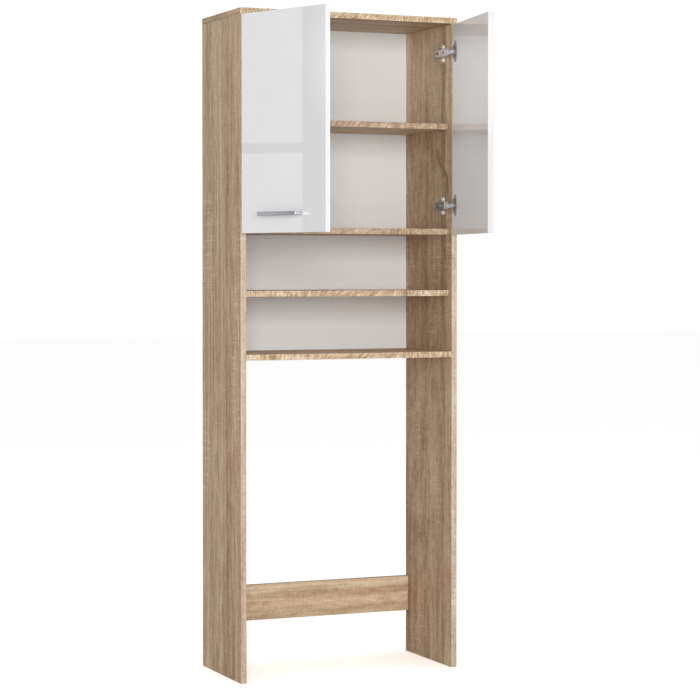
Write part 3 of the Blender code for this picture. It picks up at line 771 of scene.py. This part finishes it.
pan = [("UNION", shape(turned, [(9.0, F - 11.0), (9.0, F - 10.3), (8.3, F - 10.0)], door_plane, CUP_U + 3.0, 0.0, 48))]
CUP = carved(flange, [("UNION", below), ("DIFFERENCE", hollow)] + stubs + pan + lugs
             + [("DIFFERENCE", shape(prism, [circle(*CUP_PIN, 1.35, 24)], section, -6.9, 6.9))], "cup")
CUP_SCREW = screw_head(door_plane, (STUB[0], 0.0), 3.3, F + 1.15, F + 2.0)

# link: hooked strap between the arm's pin and the cup's pin
LINK_PATH = bent(CUP_PIN, ELBOW, ARM_PIN, 3.0)
LINK = shape(prism, [strip(LINK_PATH, 0.9, 1.9, 2.5, 24),
                     circle(*CUP_PIN, 1.35, 20), circle(*ARM_PIN, 1.35, 20)], section, -4.5, 4.5)
corner, end = Vector(ELBOW), Vector(ARM_PIN)
run = (end - corner).normalized()
side = Vector((-run.y, run.x))
a0, a1 = corner + run * 4.0, end - run * 1.0
LINK = carved(LINK, [("UNION", shape(prism, [[tuple(a0 + side * 0.85), tuple(a1 + side * 0.85), tuple(a1 - side * 0.85),
                                              tuple(a0 - side * 0.85)]], section, -7.2, 7.2))], "link")

# arm: pressed channel with a long slot over its adjusting screw and a notch behind
nose = [(ARM_PIN[0] + 3.2 * math.cos(math.radians(a)), ARM_PIN[1] + 3.2 * math.sin(math.radians(a)))
        for a in range(180, 361, 15)]
shell = shape(prism, [[(3.0, 69.0), (3.0, 26.0), (3.4, 24.6), (8.4, 13.0), (9.2, 11.0)] + nose
                      + [(18.2, 66.0), (17.6, 68.4), (16.2, 70.0), (4.0, 70.0)]], section, -9.2, 9.2)
inside = shape(prism, [[(-2.0, -8.0), (22.0, -8.0), (22.0, 5.0), (17.0, 5.0), (17.0, 76.0), (-2.0, 76.0)]],
               section, -8.0, 8.0)
slot_cut = shape(prism, [rounded(30.0, 44.0, -2.6, 2.6, 2.5)], facing, 10.0, 24.0)
notch = shape(prism, [rounded(61.5, 80.0, -2.6, 2.6, 2.5)], facing, 10.0, 24.0)
ARM = carved(shell, [("DIFFERENCE", inside), ("DIFFERENCE", slot_cut), ("DIFFERENCE", notch),
                     ("DIFFERENCE", shape(prism, [circle(*ARM_PIN, 1.35, 24)], section, -12, 12))], "arm")
FIX_SCREW = screw_head(facing, (55.0, 0.0), 4.3, 18.2, 20.6)
SIDE_SCREW = screw_head(facing, (17.0, 0.0), 3.4, 18.2, 19.4)
side_y = sum(v.co.y for v in SIDE_SCREW.vertices) / len(SIDE_SCREW.vertices)
# the lower arms get painted shade on their rear part, from just ahead of the side screw backwards
NICKEL_PAINTED_SHADE = metal("nickel_plate_painted_shade", (0.80, 0.765, 0.71), 0.50, dark=0.62, shine=0.45,
                    tail=(side_y - 6.0) * MM)

# plate: cross bar with a thick lobe at each screw, and the block under the arm
plate = shape(prism, [hull(circle(PLATE_V, LOBE_Z, 6.5, 40) + circle(PLATE_V, -LOBE_Z, 6.5, 40))], facing, GAP, 2.3)
lobes = [("UNION", shape(turned, [(7.5, GAP + 0.4), (7.5, 6.9), (7.1, 7.65), (6.2, 8.0)], facing, PLATE_V, dz, 40))
         for dz in (-LOBE_Z, LOBE_Z)]
PLATE = carved(plate, lobes + [("UNION", shape(prism, [rounded(27.0, 68.0, -7.2, 7.2, 2.0)], facing, GAP, 16.6))],
               "plate")
PLATE_SCREW = screw_head(facing, (PLATE_V, 0.0), 4.4, 8.3, 11.0)


def pin(half, centre):
    return shape(turned, [(0.5, -half), (1.0, -half + 0.35), (1.0, half - 0.35), (0.5, half)], along_z,
                 INNER - centre[0], centre[1], 24)


CUP_AXLE, ARM_AXLE = pin(6.3, CUP_PIN), pin(9.7, ARM_PIN)

# handle: square-cornered bow of flat bar
DOOR_EDGE = -14.0
DOOR_W = 316.5
HANDLE_Z, HANDLE_LEN, HANDLE_OUT, HANDLE_H, HANDLE_T = 1250.5, 146.0, 26.0, 10.0, 8.0
OUTER = -DOOR_GAP - DOOR_T
mid_x = INNER - DOOR_EDGE - DOOR_W / 2
face, far, near = OUTER - GAP, HANDLE_LEN / 2, HANDLE_LEN / 2 - HANDLE_T
crest = face - HANDLE_OUT + 0.35
loop = [(-far, face)]
for cx, start in ((-far + 2.2, 180), (far - 2.2, 270)):
    for k in range(9):
        t = math.radians(start + 90 * k / 8)
        loop.append((cx + 2.2 * math.cos(t), crest + 2.2 + 2.2 * math.sin(t)))
loop += [(far, face), (near, face)]
for cx, start in ((near - 1.0, 0), (-near + 1.0, 270)):
    for k in range(5):
        t = math.radians(start - 90 * k / 4)
        loop.append((cx + math.cos(t), crest + HANDLE_T + 1.0 + math.sin(t)))
loop += [(-near, face)]
HANDLE = shape(prism, [[(mid_x + a, b) for a, b in loop]], along_z, -HANDLE_H / 2, HANDLE_H / 2)

for s in (-1, 1):
    word = WORD[s]
    for place, hz in zip(("lower", "upper"), HINGE_Z):
        stem = f"{word}_{place}_hinge_"
        door, links = word + "_door", word + "_links"
        fitting(stem + "cup_fine", CUP, s, "door", hz, door, NICKEL_CUP, (stem + "cup",), bevel=0.25)
        fitting(stem + "link_fine", LINK, s, "link", hz, links, NICKEL_LINK, (stem + "link",), bevel=0.2)
        # the lower arms take the nickel with painted shade on their rear
        fitting(stem + "arm_fine", ARM, s, "fixed", hz, "cabinet", NICKEL_PAINTED_SHADE if place == "lower" else NICKEL,
                (stem + "arm",), bevel=0.35)
        fitting(stem + "plate_fine", PLATE, s, "fixed", hz, "cabinet", NICKEL, (stem + "plate",), bevel=0.3)
        fitting(stem + "cup_pin_fine", CUP_AXLE, s, "door", hz, door, ZINC, (stem + "cup_pin",))
        fitting(stem + "arm_pin_fine", ARM_AXLE, s, "fixed", hz, "cabinet", ZINC, (stem + "arm_pin",))
        fitting(stem + "fixing_screw", FIX_SCREW, s, "fixed", hz, "cabinet", DARK, ())
        fitting(stem + "side_screw", SIDE_SCREW, s, "fixed", hz, "cabinet", DARK, ())
        for end, dz in (("bottom", -1), ("top", 1)):
            fitting(stem + "plate_screw_" + end + "_fine", PLATE_SCREW, s, "fixed", hz + dz * LOBE_Z, "cabinet", ZINC,
                    (stem + "plate_screw_" + end,))
            fitting(stem + "ear_screw_" + end, CUP_SCREW, s, "door", hz + dz * STUB[1], door, ZINC, ())
    fitting(word + "_handle_fine", HANDLE, s, "door", HANDLE_Z, word + "_door", SATIN, (word + "_handle",),
            bevel=0.6, segments=3)
    for place, x in (("outer", mid_x + far - HANDLE_T / 2), ("inner", mid_x - far + HANDLE_T / 2)):
        head = screw_head(along_y, (x, 0.0), 4.0, -DOOR_GAP + 0.05, -DOOR_GAP + 2.6)
        fitting(f"{word}_handle_screw_{place}_fine", head, s, "door", HANDLE_Z, word + "_door", PALE,
                (f"{word}_handle_screw_{place}",))

# shelf pins: a peg in the side with a collar and a flat-topped spoon under the shelf
for side in ("left", "right"):
    for end in ("front", "rear"):
        node = f"shelf_pin_{side}_{end}"
        lo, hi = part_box(node)
        s = 1 if side == "right" else -1
        cy, cz, r = (lo.y + hi.y) / 2 / MM, (lo.z + hi.z) / 2 / MM, (hi.z - lo.z) / 2 / MM
        wall = (hi.x if s > 0 else lo.x) / MM
        tip = (lo.x if s > 0 else hi.x) / MM
        length = abs(wall - tip)
        prof = [(1.8, 0.0), (2.5, 0.7), (2.5, 8.85), (r - 0.25, 8.85), (r, 9.1), (r, 9.95), (r - 0.25, 10.2), (2.5, 10.2),
                (2.5, length - 0.5), (2.0, length)]
        me = shape(turned, [(q, wall - s * d) for q, d in prof], along_x, cy, cz, 32)
        me.transform(Matrix.Scale(MM, 4))
        me.materials.append(BROWN)
        me.shade_smooth()
        me.set_sharp_from_angle(angle=math.radians(35))
        ob = bpy.data.objects.new(node + "_fine", me)
        scene.collection.objects.link(ob)
        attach(ob, "cabinet")
        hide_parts(node)

# ---- studio ------------------------------------------------------------------------
def floor_material():
    """Plain white sweep, lifted for the direct view so that it runs into the white around it."""
    g = Graph("studio_floor")
    n = g.noise(g.place((1, 1, 1)), 3.0, 3.0)
    path = g.tree.nodes.new("ShaderNodeLightPath")
    colour = g.mix(g.ramp(n, 0.3, 0.7), (0.90, 0.90, 0.90, 1), (0.885, 0.885, 0.887, 1))
    lifted = g.mix(path.outputs["Is Camera Ray"], colour, (1.95, 1.95, 1.95, 1))
    return g.done(lifted, 0.9, Specular_IOR_Level=0.0)


bm = bmesh.new()
bmesh.ops.create_grid(bm, x_segments=8, y_segments=8, size=30.0)
me = bpy.data.meshes.new("studio_floor")
bm.to_mesh(me)
bm.free()
me.materials.append(floor_material())
floor = bpy.data.objects.new("studio_floor", me)
floor.location.z = -0.0004
scene.collection.objects.link(floor)

AMBIENT = 0.50
world = bpy.data.worlds.new("studio")
scene.world = world
world.use_nodes = True
tree = world.node_tree
back = tree.nodes["Background"]
back.inputs["Color"].default_value = (1.0, 1.0, 1.0, 1.0)
back.inputs["Strength"].default_value = AMBIENT
seen = tree.nodes.new("ShaderNodeBackground")
seen.inputs["Color"].default_value = (1.0, 1.0, 1.0, 1.0)
seen.inputs["Strength"].default_value = 1.05
path = tree.nodes.new("ShaderNodeLightPath")
mix = tree.nodes.new("ShaderNodeMixShader")
tree.links.new(path.outputs["Is Camera Ray"], mix.inputs[0])
tree.links.new(back.outputs[0], mix.inputs[1])
tree.links.new(seen.outputs[0], mix.inputs[2])
tree.links.new(mix.outputs[0], tree.nodes["World Output"].inputs["Surface"])


def softbox(name, at, target, size, power, colour=(1.0, 1.0, 1.0)):
    light = bpy.data.lights.new(name, "AREA")
    light.shape = "RECTANGLE"
    light.size, light.size_y = size
    light.energy = power
    light.color = colour
    ob = bpy.data.objects.new(name, light)
    ob.location = at
    ob.rotation_euler = (Vector(target) - Vector(at)).to_track_quat("-Z", "Y").to_euler()
    ob.visible_camera = False
    scene.collection.objects.link(ob)
    return ob


def around_target(azimuth, elevation, distance, height=1.2):
    """A place seen from the cabinet: azimuth from straight ahead towards its left side."""
    a, e = math.radians(azimuth), math.radians(elevation)
    return (-distance * math.cos(e) * math.sin(a), -distance * math.cos(e) * math.cos(a),
            height + distance * math.sin(e))


KEY = 0.58
softbox("front_softbox", around_target(17.0, 6.0, 6.5), (0.0, 0.0, 1.2), (3.0, 2.2), KEY * math.pi ** 2 * 6.5 ** 2)
# a strong, narrower box on the right, seen in the faces that turn to it
FILL = 0.10
softbox("right_softbox", around_target(-65.0, 4.0, 4.5), (0.0, 0.0, 1.2), (1.6, 2.0), FILL * math.pi ** 2 * 4.5 ** 2)
# a narrow lamp from the left reaches past the left door to the right one's inner face
lamp = bpy.data.lights.new("left_lamp", "SPOT")
lamp.energy = 480.0
lamp.spot_size = math.radians(4.4)
lamp.spot_blend = 1.0
lamp.shadow_soft_size = 0.08
LAMP_AT = around_target(54.0, 5.0, 6.0, 1.5)
lamp_ob = bpy.data.objects.new("left_lamp", lamp)
lamp_ob.location = LAMP_AT
lamp_ob.rotation_euler = (Vector((0.29, -0.16, 1.62)) - Vector(LAMP_AT)).to_track_quat("-Z", "Y").to_euler()
scene.collection.objects.link(lamp_ob)
# a tall window on the left, in two panes: the glossy left door shows its edge and its bar
for word, z0, z1 in (("upper", 1.673, 2.70), ("lower", 0.90, 1.628)):
    y0, y1 = 1.468, 2.25
    mid = (-4.0, (y0 + y1) / 2, (z0 + z1) / 2)
    softbox("window_" + word, mid, (0.0, mid[1], mid[2]), (y1 - y0, z1 - z0), 1.15 * math.pi * (y1 - y0) * (z1 - z0),
            (0.985, 0.985, 1.0))

camera = bpy.data.cameras.new("camera")
camera.sensor_width = 36.0
camera.lens = 2209.2 * 36.0 / 700.0
camera.shift_y = -0.045
camera.clip_end = 100.0
cam = bpy.data.objects.new("camera", camera)
cam.location = (-2.3931 + SHIFT.x, -5.49784 + SHIFT.y, 1.10032)
cam.rotation_euler = (math.radians(88.7745), 0.0, math.radians(-23.495))
scene.collection.objects.link(cam)
scene.camera = cam
scene.view_settings.view_transform = "Standard"
